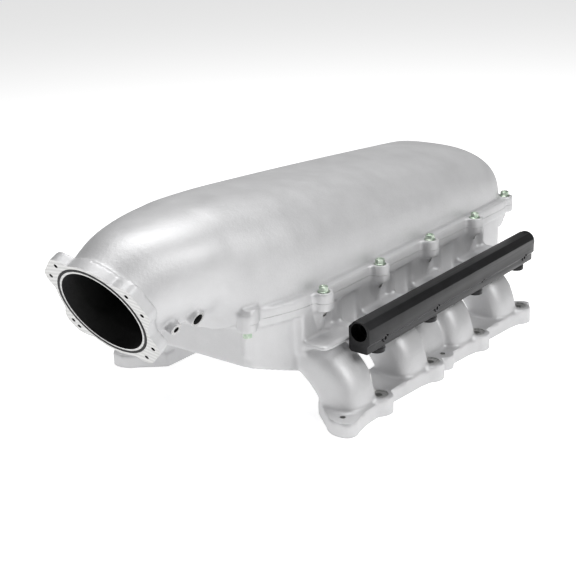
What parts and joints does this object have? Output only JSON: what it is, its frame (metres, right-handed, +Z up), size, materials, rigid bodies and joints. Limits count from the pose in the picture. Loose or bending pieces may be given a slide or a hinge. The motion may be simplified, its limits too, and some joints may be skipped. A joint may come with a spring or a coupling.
{
  "type": "intake manifold",
  "caption": "Low cast-aluminium intake manifold for a V8 engine, with a front throttle opening, a split plenum, short curved runners and a black fuel rail beside each bank.",
  "frame": {"origin": "below the middle of the part, in the plane of the two machined faces that meet the cylinder heads", "axes": "+Z up, -Y towards the throttle opening, +X towards one bank"},
  "size_m": [0.3794, 0.728, 0.253],
  "materials": {
    "cast_base": "as-cast satin, blasted, with machined faces",
    "cast_top": "as-cast satin, blasted, with a machined throttle face",
    "black_anodised": "black anodised extrusion, satin",
    "black_cup": "black anodised, turned",
    "black_screw": "black oxide, satin",
    "zinc_bolt": "zinc plated with a pale green tint",
    "rubber": "matte moulded rubber"
  },
  "bodies": {
    "root": {"manifold_base": "cast_base", "plenum_top": "cast_top", "plenum_seal": "rubber", "throttle_seal": "rubber", "plenum_bolt_1": "zinc_bolt", "plenum_bolt_2": "zinc_bolt", "plenum_bolt_3": "zinc_bolt", "plenum_bolt_4": "zinc_bolt", "plenum_bolt_5": "zinc_bolt", "plenum_bolt_6": "zinc_bolt", "plenum_bolt_7": "zinc_bolt", "plenum_bolt_8": "zinc_bolt", "plenum_bolt_9": "zinc_bolt", "plenum_bolt_10": "zinc_bolt", "plenum_bolt_11": "zinc_bolt", "plenum_bolt_12": "zinc_bolt", "plenum_bolt_13": "zinc_bolt", "plenum_bolt_14": "zinc_bolt", "fuel_rail_left": "black_anodised", "rail_end_plug_left": "black_anodised", "port_seal_left_1": "rubber", "injector_cup_left_1": "black_cup", "port_seal_left_2": "rubber", "injector_cup_left_2": "black_cup", "port_seal_left_3": "rubber", "injector_cup_left_3": "black_cup", "port_seal_left_4": "rubber", "injector_cup_left_4": "black_cup", "rail_screw_left_1": "black_screw", "rail_screw_left_2": "black_screw", "rail_screw_left_3": "black_screw", "fuel_rail_right": "black_anodised", "rail_end_plug_right": "black_anodised", "port_seal_right_1": "rubber", "injector_cup_right_1": "black_cup", "port_seal_right_2": "rubber", "injector_cup_right_2": "black_cup", "port_seal_right_3": "rubber", "injector_cup_right_3": "black_cup", "port_seal_right_4": "rubber", "injector_cup_right_4": "black_cup", "rail_screw_right_1": "black_screw", "rail_screw_right_2": "black_screw", "rail_screw_right_3": "black_screw"}
  },
  "joints": []
}
